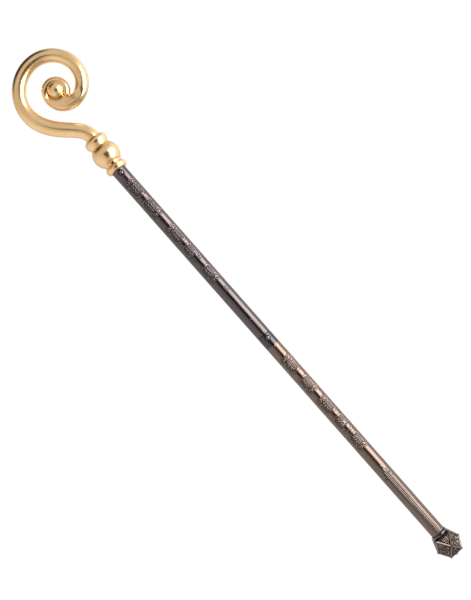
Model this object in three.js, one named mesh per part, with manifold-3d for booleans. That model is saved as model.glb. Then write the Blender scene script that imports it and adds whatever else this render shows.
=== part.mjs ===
// Bishop's crosier, lying down: a gilt crook and knop on an engraved two-part staff with a faceted foot.
// Millimetres. +X runs along the staff from the crook to the foot, +Z is up, and z = 0 is what it lies on.
import * as THREE from "three";
import { ParametricGeometry } from "three/addons/geometries/ParametricGeometry.js";
import { ConvexGeometry } from "three/addons/geometries/ConvexGeometry.js";
import { mergeVertices } from "three/addons/utils/BufferGeometryUtils.js";
import Module from "manifold-3d";

const wasm = await Module();
wasm.setup();

// ---- Driving dimensions, mm ----

// The staff. x = 0 is the plane where the knop's collar meets it.
const STAFF_RADIUS = 16.8;
const SEAM_X = 483.3;
const COLLAR_X = 1062.4;
const TUBE_TOP_X = -1;
const SEAM_CHAMFER = 0.9;
const TOP_CHAMFER = 0.6;
const END_CHAMFER = 0.3;
const GAP = 0.3;
const UPPER_TWIST = THREE.MathUtils.degToRad(2);
const LOWER_TWIST = THREE.MathUtils.degToRad(7);

// Fixing studs, each in a shallow pocket of its tube.
const STUD_RADIUS = 4.3;
const STUD_HEIGHT = 1.5;
const STUD_SEAT = 1.4;
const UPPER_STUD_X = 10.3;
const JOINT_STUD_X = 493.4;

// The knop, turned on its own axis. Its heights are measured from x = 0 towards the crook.
const HEAD_LEAN = THREE.MathUtils.degToRad(3.1);
const SOCKET_RADIUS = 17.6;
const SOCKET_CEILING = 2.4;
const KNOP_FOOT = -1.3;
const LOWER_BEAD_RADIUS = 25.1;
const LOWER_BEAD_HEIGHT = 7;
const BALL_RADIUS = 31.3;
const BALL_HEIGHT = 42.9;
const LOWER_NECK_RADIUS = 20;
const UPPER_NECK_RADIUS = 21.4;
const UPPER_BEAD_RADIUS = 26.5;
const UPPER_BEAD_HEIGHT = 78.2;
const KNOP_TOP = 88.3;
const KNOP_TOP_RADIUS = 21.8;
const PIN_HOLE_RADIUS = 3.3;
const PIN_HOLE_HEIGHT = 16.4;
const PIN_HOLE_FLOOR = 12;

// The crook. Angles are about the eye of the volute, in turns of a circle seen from above.
const STEM_RADIUS = 16.5;
const STEM_PULL = 38;
const COIL_PULL = 54;
const EYE_HEIGHT = 221.6;
const COIL_MID_RADIUS = 81.3;
const COIL_START = 300;
const TIP = -336;
const RIM_RADIUS = 31.9;
const TUBE_RADIUS = 15.7;
const SWELL_RADIUS = 17.4;
const RIM_HEIGHT = 10.5;
const EYE_CORE = 13.2;
const EYE_BALL_RADIUS = 20.5;
const EYE_BALL_SHIFT = new THREE.Vector3(-1.5, 0.8, 0);

// Spans of angle, in degrees about the eye, over which the coil changes from one form to the next.
const SWELL_SPAN = [235, COIL_START];
const WINDING_SPAN = [-110, 180];
const CLOSING_SPAN = [10, 44];
const RISING_SPAN = [-130, 70];
const TIP_SPAN = 14;
const PARTING = -36;
const COIL_OVERLAP = 7;

// The foot: a cuboctahedron drawn out towards the staff, with a bead on each corner.
const FOOT_COLLAR_RADIUS = 18.8;
const FOOT_COLLAR_END = 1070.3;
const FOOT_TOP_X = 1070.6;
const FOOT_WAIST_X = 1097;
const FOOT_END_X = 1119.4;
const FOOT_TWIST = THREE.MathUtils.degToRad(4);
const FOOT_TOP_RADIUS = 26.4;
const FOOT_WAIST_RADIUS = 30.6;
const FOOT_END_RADIUS = 22;
const CORNER_BEAD_RADIUS = 2.4;
const END_BOSS_RADIUS = 5;
const END_BOSS_HEIGHT = 6.6;
const END_BOSS_ROUND = 1.2;
const TRIM_BOX = 100;

// Height of the staff's axis when it lies on the flats of the ball and of the lowest corner bead.
const AXIS_HEIGHT = 30.5;

// Sides and steps of the round pieces.
const TUBE_SIDES = 48;
const KNOP_SIDES = 44;
const COLLAR_SIDES = 40;
const CROOK_SIDES = 18;
const BOSS_SIDES = 20;
const SMALL_SIDES = 16;
const BALL_SIDES = 24;
const STEM_STEPS = 10;
const COIL_STEPS = 40;
const RIM_STEPS = 30;
const KNOP_STEPS = 5;
const STUD_STEPS = 4;
const COLLAR_STEPS = 3;

// ---- Solids ----

// The manifold-3d solid of a closed three.js geometry.
function solid(geometry) {
  const bare = geometry.index ? geometry.toNonIndexed() : geometry.clone();
  bare.deleteAttribute("normal");
  bare.deleteAttribute("uv");
  const merged = mergeVertices(bare, 1e-4);
  const index = merged.index.array;
  const faces = [];
  for (let i = 0; i < index.length; i += 3) {
    const [a, b, c] = index.slice(i, i + 3);
    if (a !== b && b !== c && c !== a) {
      faces.push(a, b, c);
    }
  }
  const vertProperties = merged.attributes.position.array;
  const triVerts = new Uint32Array(faces);
  return new wasm.Manifold(new wasm.Mesh({ numProp: 3, vertProperties, triVerts }));
}

// The three.js geometry of a manifold-3d solid.
function geometryOf(made) {
  const mesh = made.getMesh();
  const geometry = new THREE.BufferGeometry();
  geometry.setAttribute("position", new THREE.BufferAttribute(mesh.vertProperties, 3));
  geometry.setIndex(new THREE.BufferAttribute(mesh.triVerts, 1));
  geometry.computeVertexNormals();
  return geometry;
}

// A turned solid about the X axis: the outline's first number is a radius, its second a place along X.
function turned(outline, segments) {
  return new THREE.LatheGeometry(outline, segments).rotateZ(-Math.PI / 2);
}

// Everything below the surface that the crosier lies on, as a cutter.
function ground() {
  const size = 4000;
  return solid(new THREE.BoxGeometry(size, size, size).translate(0, 0, -AXIS_HEIGHT - size / 2));
}

// ---- Materials ----

const gilt = { color: 0xd8b27a, roughness: 0.28, metalness: 1 };
const darkSilver = { color: 0x5d5552, roughness: 0.38, metalness: 1 };
const brownSilver = { color: 0x77645a, roughness: 0.38, metalness: 1 };

function node(name, geometry, look) {
  const mesh = new THREE.Mesh(geometry, new THREE.MeshStandardMaterial(look));
  mesh.name = name;
  return mesh;
}

// ---- Knop ----

// The socket, the lower bead, the ball and the upper bead as one outline, from the axis back to the axis.
function knopOutline() {
  const path = new THREE.Path();
  const ballStart = Math.acos(LOWER_NECK_RADIUS / BALL_RADIUS);
  const ballEnd = Math.acos(UPPER_NECK_RADIUS / BALL_RADIUS);
  path.moveTo(0, SOCKET_CEILING);
  path.lineTo(SOCKET_RADIUS, SOCKET_CEILING);
  path.lineTo(SOCKET_RADIUS, KNOP_FOOT);
  path.lineTo(SOCKET_RADIUS + 1.7, KNOP_FOOT);
  path.bezierCurveTo(
    LOWER_BEAD_RADIUS - 2, KNOP_FOOT + 0.6,
    LOWER_BEAD_RADIUS, LOWER_BEAD_HEIGHT - 4,
    LOWER_BEAD_RADIUS, LOWER_BEAD_HEIGHT,
  );
  path.bezierCurveTo(
    LOWER_BEAD_RADIUS, LOWER_BEAD_HEIGHT + 5,
    LOWER_NECK_RADIUS + 2.6, PIN_HOLE_HEIGHT - 2.4,
    LOWER_NECK_RADIUS, PIN_HOLE_HEIGHT + 0.8,
  );
  path.absarc(0, BALL_HEIGHT, BALL_RADIUS, -ballStart, ballEnd, false);
  path.bezierCurveTo(
    UPPER_NECK_RADIUS + 2.4, UPPER_BEAD_HEIGHT - 8.4,
    UPPER_BEAD_RADIUS, UPPER_BEAD_HEIGHT - 5,
    UPPER_BEAD_RADIUS, UPPER_BEAD_HEIGHT,
  );
  path.bezierCurveTo(
    UPPER_BEAD_RADIUS, UPPER_BEAD_HEIGHT + 5,
    KNOP_TOP_RADIUS + 2.8, KNOP_TOP - 2.4,
    KNOP_TOP_RADIUS, KNOP_TOP,
  );
  path.lineTo(0, KNOP_TOP);
  return path.getPoints(KNOP_STEPS);
}

function knop() {
  const turning = solid(turned(knopOutline(), KNOP_SIDES).rotateY(Math.PI));
  const holeDepth = BALL_RADIUS - PIN_HOLE_FLOOR;
  const hole = new THREE.CylinderGeometry(PIN_HOLE_RADIUS, PIN_HOLE_RADIUS, holeDepth, SMALL_SIDES);
  hole.rotateX(Math.PI / 2);
  hole.translate(-PIN_HOLE_HEIGHT, 0, PIN_HOLE_FLOOR + holeDepth / 2);
  return geometryOf(turning.subtract(solid(hole)).subtract(ground()));
}

// ---- Crook ----

const EYE = new THREE.Vector3(-EYE_HEIGHT, 0, 0);

function eased(value, from, to) {
  return THREE.MathUtils.smoothstep(value, from, to);
}

// The tube's radius where it is round: it swells at the foot of the coil and runs even round the rest.
function roundRadius(angle) {
  return THREE.MathUtils.lerp(TUBE_RADIUS, SWELL_RADIUS, eased(angle, ...SWELL_SPAN));
}

// The coil's outer edge: from the rim round the eye it winds out to the full coil.
function outerEdge(angle) {
  const winding = eased(angle, ...WINDING_SPAN);
  return THREE.MathUtils.lerp(RIM_RADIUS, COIL_MID_RADIUS + TUBE_RADIUS, winding);
}

// A slice across the coil at an angle: where its middle is, and its half widths in and out of the plane.
function coilSlice(angle) {
  const radial = THREE.MathUtils.degToRad(angle);
  const outward = new THREE.Vector3(Math.cos(radial), Math.sin(radial), 0);
  const full = roundRadius(angle);
  const edge = outerEdge(angle) + full - TUBE_RADIUS;
  const closing = eased(angle, ...CLOSING_SPAN);
  const across = THREE.MathUtils.lerp((edge - EYE_CORE) / 2, full, closing);
  const upward = THREE.MathUtils.lerp(RIM_HEIGHT, full, eased(angle, ...RISING_SPAN));
  const centre = EYE.clone().addScaledVector(outward, edge - across);
  return { centre, outward, across, upward };
}

// The stem's middle line: straight out of the knop, then over into the coil's tangent.
function stemCurve() {
  const start = new THREE.Vector3(-KNOP_TOP - GAP, 0, 0);
  const joined = coilSlice(COIL_START);
  const tangent = new THREE.Vector3(joined.outward.y, -joined.outward.x, 0);
  return new THREE.CubicBezierCurve3(
    start,
    start.clone().add(new THREE.Vector3(-STEM_PULL, 0, 0)),
    joined.centre.clone().addScaledVector(tangent, -COIL_PULL),
    joined.centre,
  );
}

const stem = stemCurve();

function stemSlice(t) {
  const tangent = stem.getTangent(t);
  const outward = new THREE.Vector3(-tangent.y, tangent.x, 0);
  const radius = THREE.MathUtils.lerp(STEM_RADIUS, SWELL_RADIUS, eased(t, 0.3, 1));
  return { centre: stem.getPoint(t), outward, across: radius, upward: radius };
}

// A closed skin through slices: each end is shut by a point in the middle of its last slice.
function skin(slices, around) {
  const last = slices.length + 1;
  function place(u, v, target) {
    const step = Math.round(u * last);
    const slice = slices[THREE.MathUtils.clamp(step - 1, 0, slices.length - 1)];
    const open = step === 0 || step === last ? 0 : 1;
    const turn = 2 * Math.PI * (v === 1 ? 0 : v);
    target.copy(slice.centre);
    target.addScaledVector(slice.outward, open * slice.across * Math.cos(turn));
    target.z -= open * slice.upward * Math.sin(turn);
  }
  return new ParametricGeometry(place, last, around);
}

// The tip rounds off over its last few degrees, inside the coil's flank.
function tipSlice(angle) {
  const slice = coilSlice(angle);
  const left = THREE.MathUtils.clamp((angle - TIP) / TIP_SPAN, 0, 1);
  const round = Math.sqrt(1 - (1 - left) ** 2);
  slice.across *= round;
  slice.upward *= round;
  return slice;
}

function range(from, to, count) {
  return Array.from({ length: count + 1 }, (_, i) => from + ((to - from) * i) / count);
}

function crook() {
  const stemSlices = range(0, 1, STEM_STEPS).map(stemSlice);
  const coilSlices = range(COIL_START - COIL_OVERLAP, PARTING, COIL_STEPS).map(coilSlice);
  const rimSlices = range(PARTING, TIP + 0.5, RIM_STEPS).map(tipSlice);
  const coil = solid(skin([...stemSlices, ...coilSlices], CROOK_SIDES));
  const rim = solid(skin(rimSlices, CROOK_SIDES));
  const ball = new THREE.SphereGeometry(EYE_BALL_RADIUS, BALL_SIDES, SMALL_SIDES).rotateX(Math.PI / 2);
  ball.translate(...EYE.clone().add(EYE_BALL_SHIFT));
  return geometryOf(coil.add(rim).add(solid(ball)));
}

// ---- Staff ----

// A staff section from one X to another, with a chamfer at each end.
function tube(from, to, startChamfer, endChamfer) {
  const outline = [
    new THREE.Vector2(0, from),
    new THREE.Vector2(STAFF_RADIUS - startChamfer, from),
    new THREE.Vector2(STAFF_RADIUS, from + startChamfer),
    new THREE.Vector2(STAFF_RADIUS, to - endChamfer),
    new THREE.Vector2(STAFF_RADIUS - endChamfer, to),
    new THREE.Vector2(0, to),
  ];
  return solid(turned(outline, TUBE_SIDES));
}

// A stud's place: its axis runs out of the staff at a twist about X, and z = 0 is its seat.
function atStud(geometry, x, twist) {
  return geometry.translate(0, 0, STAFF_RADIUS - STUD_SEAT).rotateX(-twist).translate(x, 0, 0);
}

function pocket(x, twist) {
  const radius = STUD_RADIUS + GAP;
  const depth = 2 * STUD_SEAT;
  const cutter = new THREE.CylinderGeometry(radius, radius, depth, SMALL_SIDES).rotateX(Math.PI / 2);
  cutter.translate(0, 0, depth / 2 - GAP);
  return solid(atStud(cutter, x, twist));
}

function stud(x, twist) {
  const path = new THREE.Path();
  const shoulder = STUD_SEAT - 0.2;
  const dome = new THREE.Vector2(0, STUD_SEAT + STUD_HEIGHT);
  path.moveTo(0, 0);
  path.lineTo(STUD_RADIUS, 0);
  path.lineTo(STUD_RADIUS, shoulder);
  path.quadraticCurveTo(STUD_RADIUS * 0.75, dome.y, dome.x, dome.y);
  const turning = new THREE.LatheGeometry(path.getPoints(STUD_STEPS), SMALL_SIDES);
  return atStud(turning.rotateX(Math.PI / 2), x, twist);
}

// ---- Foot ----

function footCollar() {
  const middle = (COLLAR_X + FOOT_COLLAR_END) / 2;
  const path = new THREE.Path();
  path.moveTo(0, COLLAR_X);
  path.lineTo(STAFF_RADIUS, COLLAR_X);
  path.quadraticCurveTo(FOOT_COLLAR_RADIUS, COLLAR_X, FOOT_COLLAR_RADIUS, middle);
  path.quadraticCurveTo(FOOT_COLLAR_RADIUS, FOOT_COLLAR_END, STAFF_RADIUS, FOOT_COLLAR_END);
  path.lineTo(0, FOOT_COLLAR_END);
  return turned(path.getPoints(COLLAR_STEPS), COLLAR_SIDES);
}

// Four corners of the foot at one place along X, at quarter turns from a first angle round the staff.
function footCorners(x, radius, first) {
  return range(0, 270, 3).map((quarter) => {
    const angle = FOOT_TWIST + THREE.MathUtils.degToRad(first + quarter);
    return new THREE.Vector3(x, radius * Math.sin(angle), radius * Math.cos(angle));
  });
}

function footKnob() {
  const corners = [
    ...footCorners(FOOT_TOP_X, FOOT_TOP_RADIUS, 45),
    ...footCorners(FOOT_WAIST_X, FOOT_WAIST_RADIUS, 0),
    ...footCorners(FOOT_END_X, FOOT_END_RADIUS, 45),
  ];
  const bossEnd = FOOT_END_X + END_BOSS_HEIGHT;
  const bossOutline = [
    new THREE.Vector2(0, FOOT_WAIST_X),
    new THREE.Vector2(END_BOSS_RADIUS, FOOT_WAIST_X),
    new THREE.Vector2(END_BOSS_RADIUS, bossEnd - END_BOSS_ROUND),
    new THREE.Vector2(END_BOSS_RADIUS - END_BOSS_ROUND, bossEnd),
    new THREE.Vector2(0, bossEnd),
  ];
  let body = solid(new ConvexGeometry(corners)).add(solid(turned(bossOutline, BOSS_SIDES)));
  for (const corner of corners) {
    const bead = new THREE.IcosahedronGeometry(CORNER_BEAD_RADIUS, 1);
    body = body.add(solid(bead.translate(corner.x, corner.y, corner.z)));
  }
  const shaftSide = new THREE.BoxGeometry(TRIM_BOX, TRIM_BOX, TRIM_BOX);
  shaftSide.translate(FOOT_TOP_X - TRIM_BOX / 2, 0, 0);
  return geometryOf(body.subtract(solid(shaftSide)).subtract(ground()));
}

// ---- Assembly ----

const upperBlank = tube(TUBE_TOP_X, SEAM_X - GAP / 2, TOP_CHAMFER, SEAM_CHAMFER);
const lowerBlank = tube(SEAM_X + GAP / 2, COLLAR_X - GAP, SEAM_CHAMFER, END_CHAMFER);
const upperShell = upperBlank.subtract(pocket(UPPER_STUD_X, UPPER_TWIST));
const lowerShell = lowerBlank.subtract(pocket(JOINT_STUD_X, LOWER_TWIST));

const head = new THREE.Group();
head.rotation.z = -HEAD_LEAN;
head.add(node("crook", crook(), gilt));
head.add(node("knop", knop(), gilt));

const crosier = new THREE.Group();
crosier.add(head);
crosier.add(node("upper_tube", geometryOf(upperShell), darkSilver));
crosier.add(node("upper_stud", stud(UPPER_STUD_X, UPPER_TWIST), darkSilver));
crosier.add(node("lower_tube", geometryOf(lowerShell), brownSilver));
crosier.add(node("joint_stud", stud(JOINT_STUD_X, LOWER_TWIST), brownSilver));
crosier.add(node("foot_collar", footCollar(), darkSilver));
crosier.add(node("foot_knob", footKnob(), brownSilver));

// The origin is in the middle of the outline seen from above, on the surface that the crosier lies on.
crosier.updateMatrixWorld(true);
const outline = new THREE.Box3().setFromObject(crosier, true);
const middle = outline.getCenter(new THREE.Vector3());
crosier.position.set(-middle.x, -middle.y, AXIS_HEIGHT);

export default crosier;
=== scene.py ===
import math

import bpy
import numpy as np
from bpy.props import FloatProperty, FloatVectorProperty, IntProperty, PointerProperty
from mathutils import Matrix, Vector


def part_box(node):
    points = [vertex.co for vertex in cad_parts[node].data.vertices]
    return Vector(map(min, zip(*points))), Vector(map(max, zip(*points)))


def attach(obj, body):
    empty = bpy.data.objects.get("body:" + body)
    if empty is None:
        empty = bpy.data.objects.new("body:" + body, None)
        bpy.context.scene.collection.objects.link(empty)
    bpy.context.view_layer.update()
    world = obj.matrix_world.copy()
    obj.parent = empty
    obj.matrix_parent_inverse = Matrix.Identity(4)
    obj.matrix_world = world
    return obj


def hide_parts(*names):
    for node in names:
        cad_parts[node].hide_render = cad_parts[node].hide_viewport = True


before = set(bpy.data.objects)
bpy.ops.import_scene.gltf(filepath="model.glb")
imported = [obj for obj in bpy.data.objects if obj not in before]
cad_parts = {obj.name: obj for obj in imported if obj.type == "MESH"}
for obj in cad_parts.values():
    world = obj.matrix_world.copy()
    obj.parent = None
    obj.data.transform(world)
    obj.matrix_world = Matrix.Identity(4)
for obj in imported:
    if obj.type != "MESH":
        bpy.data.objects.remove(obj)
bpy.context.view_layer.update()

bl_info = {
    "name": "Bishop's crosier",
    "version": (1, 0, 0),
    "blender": (4, 5, 0),
    "location": "3D View > Sidebar > Crosier",
    "description": "Builds a gilt crook and knop on an engraved silver staff with a faceted foot",
    "category": "Object",
}

MM = 0.001
SEED = 7

# The staff's own frame, in the row frame: x = 0 where the knop's collar meets the staff, on the staff's axis.
STAFF_LOW, STAFF_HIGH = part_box("upper_tube")
STAFF_ORIGIN = np.array([
    STAFF_LOW.x + 1.0 * MM,
    (STAFF_LOW.y + STAFF_HIGH.y) / 2,
    (STAFF_LOW.z + STAFF_HIGH.z) / 2,
])
HEAD_LEAN = math.radians(3.1)


# ---- Settings ----

def length(name, millimetres, description):
    """A length setting, given in millimetres and kept in metres."""
    return FloatProperty(
        name=name, description=description, default=millimetres * MM, min=0.0,
        subtype="DISTANCE", unit="LENGTH", precision=5,
    )


def place(name, millimetres, description):
    """A signed position setting, given in millimetres and kept in metres."""
    return FloatProperty(
        name=name, description=description, default=millimetres * MM,
        subtype="DISTANCE", unit="LENGTH", precision=5,
    )


def turn(name, degrees, description):
    """An angle setting, given in degrees and kept in radians."""
    return FloatProperty(
        name=name, description=description, default=math.radians(degrees),
        subtype="ANGLE", unit="ROTATION",
    )


def share(name, value, description):
    """A setting between zero and one."""
    return FloatProperty(
        name=name, description=description, default=value, min=0.0, max=1.0, subtype="FACTOR",
    )


def colour(name, value, description):
    """A linear colour setting."""
    return FloatVectorProperty(
        name=name, description=description, default=value, size=3, min=0.0, max=1.0, subtype="COLOR",
    )


class CrookSettings(bpy.types.PropertyGroup):
    stem_radius: length("Stem radius", 16.5, "Radius of the stem where it leaves the knop")
    tube_radius: length("Tube radius", 15.45, "Radius of the coil")
    swell_radius: length("Swell radius", 17.4, "Radius at the foot of the coil")
    eye_height: length("Eye height", 221.6, "Distance of the volute's eye from the top of the staff")
    middle_radius: length("Coil radius", 81.3, "Radius of the coil's middle line round the eye")
    rim_radius: length("Rim radius", 31.9, "Radius of the rim round the eye")
    rim_height: length("Rim height", 10.5, "Half height of the rim round the eye")
    core_radius: length("Core radius", 13.2, "How near the flattened coil comes to the eye")
    ball_radius: length("Eye ball radius", 20.5, "Radius of the ball in the eye")
    around: IntProperty(name="Sides", description="Faces round the tube", default=96, min=16)


class KnopSettings(bpy.types.PropertyGroup):
    ball_radius: length("Ball radius", 31.3, "Radius of the ball")
    ball_height: length("Ball height", 42.9, "Distance of the ball's middle from the top of the staff")
    lower_bead: length("Lower bead radius", 25.1, "Radius of the bead next to the staff")
    upper_bead: length("Upper bead radius", 26.5, "Radius of the bead next to the crook")
    hole_radius: length("Pin hole radius", 3.3, "Radius of the pin hole in the lower neck")
    around: IntProperty(name="Sides", description="Faces round the knop", default=160, min=16)


class StaffSettings(bpy.types.PropertyGroup):
    radius: length("Radius", 16.8, "Radius of the staff")
    seam: length("Seam", 483.3, "Distance of the seam from the top of the staff")
    end: length("End", 1062.4, "Distance of the foot's collar from the top of the staff")
    relief: length("Relief", 0.42, "Height of the raised scrollwork")
    rib: length("Rib", 0.7, "Height of the long ribs above the foot")
    upper_twist: turn("Upper twist", 4.0, "Turn of the upper panels about the staff")
    lower_twist: turn("Lower twist", 7.0, "Turn of the lower panels about the staff")
    stud_radius: length("Stud radius", 4.3, "Radius of the fixing studs")


class FootSettings(bpy.types.PropertyGroup):
    twist: turn("Twist", 4.0, "Turn of the corners about the staff")
    top_radius: length("Top radius", 26.4, "Radius of the corners next to the staff")
    waist_radius: length("Waist radius", 30.6, "Radius of the corners at the waist")
    end_radius: length("End radius", 22.0, "Radius of the corners at the end")
    bead_radius: length("Bead radius", 2.4, "Radius of the bead on each corner")
    relief: length("Relief", 0.9, "Height of the raised strapwork")


class FinishSettings(bpy.types.PropertyGroup):
    gilt: colour("Gilt", (0.93, 0.60, 0.29), "Colour of the gilding")
    gilt_pale: colour("Pale gilt", (0.98, 0.69, 0.38), "Colour of the gilding's pale clouds")
    silver: colour("Silver", (0.145, 0.118, 0.114), "Colour of the upper staff's silver")
    silver_streak: colour("Silver streaks", (0.10, 0.085, 0.085), "Colour of the streaks in the silver")
    rubbed: colour("Rubbed silver", (0.34, 0.29, 0.28), "Colour of the silver where it is rubbed")
    # The patina colour also paints shade on the foot's corner beads and on the collar's flanks.
    patina_and_shade: colour("Patina", (0.020, 0.016, 0.016), "Colour of the dark patina")
    brown: colour("Brown silver", (0.23, 0.152, 0.112), "Colour of the lower staff's brown silver")
    brown_streak: colour("Brown streaks", (0.17, 0.13, 0.11), "Colour of the streaks in the brown silver")
    joint: colour("Joint silver", (0.082, 0.080, 0.086), "Colour of the band below the seam")
    gilt_roughness: share("Gilt roughness", 0.26, "Roughness of the gilding")
    silver_roughness: share("Silver roughness", 0.24, "Roughness of the silver")


class StageSettings(bpy.types.PropertyGroup):
    distance: length("Camera distance", 2376.0, "Distance of the camera above the staff's axis")
    box: FloatProperty(name="Side box", description="Radiance of the side box", default=5.0, min=0.0)
    lens: FloatProperty(name="Lens", description="Focal length in millimetres", default=64.8, min=1.0)
    roll: turn("Roll", 48.57, "Turn of the camera about the line of sight")
    aim_along: place("Aim along", 384.78, "Place on the staff that the camera looks at")
    aim_across: place("Aim across", 4.07, "How far to the side of the staff the camera looks")


# ---- Number work on whole arrays ----

def eased(value, low, high):
    """Zero below low, one above high, and three t squared minus two t cubed between."""
    t = np.clip((value - low) / (high - low), 0.0, 1.0)
    return t * t * (3.0 - 2.0 * t)


def mixed(a, b, t):
    """The straight line from a to b at t."""
    return a + (b - a) * t


def soft_least(a, b, blend):
    """The smaller of a and b, rounded off over a blend where they cross."""
    h = np.clip(0.5 + 0.5 * (b - a) / blend, 0.0, 1.0)
    return mixed(b, a, h) - blend * h * (1.0 - h)


def bump(distance, width):
    """A round hump: e to the minus square of distance over width."""
    return np.exp(-((distance / width) ** 2))


def bezier(a, b, c, d, count):
    """Points along a cubic Bezier curve, its first and last points included."""
    t = np.linspace(0.0, 1.0, count)[:, None]
    points = [np.asarray(p, float) for p in (a, b, c, d)]
    weights = [(1 - t) ** 3, 3 * t * (1 - t) ** 2, 3 * t * t * (1 - t), t ** 3]
    return sum(w * p for w, p in zip(weights, points))


def waves(position, count, shortest, longest, generator):
    """A smooth random line: sine waves of random length and phase, added and brought to unit height."""
    lengths = generator.uniform(shortest, longest, count)
    phases = generator.uniform(0, 2 * math.pi, count)
    total = sum(np.sin(2 * math.pi * position / l + p) for l, p in zip(lengths, phases))
    return total / math.sqrt(count)


# ---- Meshes ----

def placed(points, lean=0.0):
    """Points of the staff's frame in the row frame, first turned about Z by minus the lean."""
    c, s = math.cos(-lean), math.sin(-lean)
    turned = np.array([[c, s, 0], [-s, c, 0], [0, 0, 1]])
    return points @ turned + STAFF_ORIGIN


def ring_faces(rows, around, first=0):
    """The four-sided faces of a grid of rows whose columns close on themselves."""
    i = np.arange(rows - 1)[:, None]
    j = np.arange(around)[None, :]
    k = (j + 1) % around
    corners = [i * around + j, i * around + k, (i + 1) * around + k, (i + 1) * around + j]
    return first + np.stack(corners, -1).reshape(-1, 4)


def fan_faces(row, around, point, first=0):
    """The three-sided faces from one row of a ring grid to a point."""
    j = np.arange(around)
    k = (j + 1) % around
    start = first + row * around
    return np.stack([start + j, start + k, np.full(around, point)], -1)


def closed_skin(rings, start, end):
    """Vertices and faces of a skin through rings, shut at each end by a fan to a point."""
    rows, around = rings.shape[:2]
    count = rows * around
    points = np.concatenate([rings.reshape(-1, 3), [start], [end]])
    shut = fan_faces(0, around, count)
    fans = np.concatenate([shut[:, ::-1], fan_faces(rows - 1, around, count + 1)])
    return points, ring_faces(rows, around), fans


def turned_skin(outline, around):
    """A turned solid about X: a ring for each (x, radius) of the outline, shut on the axis."""
    angle = np.linspace(0, 2 * math.pi, around, endpoint=False)
    x = np.repeat(outline[:, :1], around, 1)
    rings = np.stack([x, outline[:, 1:] * np.sin(angle), outline[:, 1:] * np.cos(angle)], -1)
    start = [outline[0, 0], 0, 0]
    end = [outline[-1, 0], 0, 0]
    return closed_skin(rings, start, end)


def ball_skin(centre, radius, around, rows):
    """A ball of rings at equal latitudes, shut at both poles."""
    latitude = np.linspace(-math.pi / 2, math.pi / 2, rows + 2)[1:-1]
    angle = np.linspace(0, 2 * math.pi, around, endpoint=False)
    flat = np.cos(latitude)[:, None]
    up = np.repeat(np.sin(latitude)[:, None], around, 1)
    rings = np.stack([flat * np.cos(angle), flat * np.sin(angle), up], -1) * radius + centre
    return closed_skin(rings, centre - [0, 0, radius], centre + [0, 0, radius])


def outward(points, quads, fans):
    """The faces, all turned over if the volume that they close comes out negative."""
    halves = np.concatenate([quads[:, [0, 1, 2]], quads[:, [0, 2, 3]], fans])
    a, b, c = (points[halves[:, i]] for i in range(3))
    if np.einsum("ij,ij->i", a, np.cross(b, c)).sum() < 0:
        return quads[:, ::-1], fans[:, ::-1]
    return quads, fans


def make_object(name, skins, sharp=40.0):
    """An object from one or more closed skins, smooth except across edges sharper than an angle."""
    points, quads, fans = [], [], []
    first = 0
    for skin_points, skin_quads, skin_fans in skins:
        q, f = outward(skin_points, skin_quads, skin_fans)
        points.append(skin_points)
        quads.append(q + first)
        fans.append(f + first)
        first += len(skin_points)
    points = np.concatenate(points)
    quads = np.concatenate(quads)
    fans = np.concatenate(fans)
    mesh = bpy.data.meshes.new(name)
    mesh.vertices.add(len(points))
    mesh.vertices.foreach_set("co", points.astype(np.float32).ravel())
    corners = np.concatenate([quads.ravel(), fans.ravel()])
    starts = np.concatenate([np.arange(len(quads)) * 4, len(quads) * 4 + np.arange(len(fans)) * 3])
    mesh.loops.add(len(corners))
    mesh.loops.foreach_set("vertex_index", corners.astype(np.int32))
    mesh.polygons.add(len(starts))
    mesh.polygons.foreach_set("loop_start", starts.astype(np.int32))
    mesh.update(calc_edges=True)
    mesh.validate()
    piece = bpy.data.objects.new(name, mesh)
    bpy.context.scene.collection.objects.link(piece)
    smooth(mesh, sharp)
    return piece


def smooth(mesh, sharp):
    """Smooth shading, except across edges sharper than an angle in degrees."""
    mesh.polygons.foreach_set("use_smooth", np.ones(len(mesh.polygons), bool))
    mesh.set_sharp_from_angle(angle=math.radians(sharp))


def painted(piece, name, values):
    """Keeps one number for each vertex as a named attribute that a material can read."""
    attribute = piece.data.attributes.new(name, "FLOAT", "POINT")
    attribute.data.foreach_set("value", np.asarray(values, np.float32).ravel())


def combined(piece, tool, operation, sharp=40.0):
    """The piece joined with or cut by a tool object, as one closed mesh. The tool is removed."""
    modifier = piece.modifiers.new(operation, "BOOLEAN")
    modifier.operation = operation
    modifier.solver = "MANIFOLD"
    modifier.object = tool
    bpy.context.view_layer.update()
    graph = bpy.context.evaluated_depsgraph_get()
    made = bpy.data.meshes.new_from_object(piece.evaluated_get(graph), depsgraph=graph)
    piece.modifiers.clear()
    old = piece.data
    piece.data = made
    made.name = piece.name
    bpy.data.meshes.remove(old)
    bpy.data.objects.remove(tool)
    smooth(made, sharp)


def finished(piece, node, look):
    """Gives a piece its material and puts it in the place of its CAD node."""
    piece.data.materials.clear()
    piece.data.materials.append(look)
    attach(piece, "root")
    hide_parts(node)


# ---- Material expressions ----

class Value:
    """An output socket with arithmetic: each operation adds its Math node to the tree."""

    def __init__(self, shader, socket):
        self.shader = shader
        self.socket = socket

    def maths(self, operation, other):
        return self.shader.add("ShaderNodeMath", {"operation": operation}, {0: self, 1: other})

    def __add__(self, other):
        return self.maths("ADD", other)

    def __radd__(self, other):
        return self.maths("ADD", other)

    def __sub__(self, other):
        return self.maths("SUBTRACT", other)

    def __rsub__(self, other):
        return self.shader.add("ShaderNodeMath", {"operation": "SUBTRACT"}, {0: other, 1: self})

    def __mul__(self, other):
        return self.maths("MULTIPLY", other)

    def __rmul__(self, other):
        return self.maths("MULTIPLY", other)

    def smoothly(self, low, high):
        """Zero at low, one at high, eased between."""
        settings = {"interpolation_type": "SMOOTHSTEP"}
        inputs = {"Value": self, "From Min": low, "From Max": high}
        return self.shader.add("ShaderNodeMapRange", settings, inputs)


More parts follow.
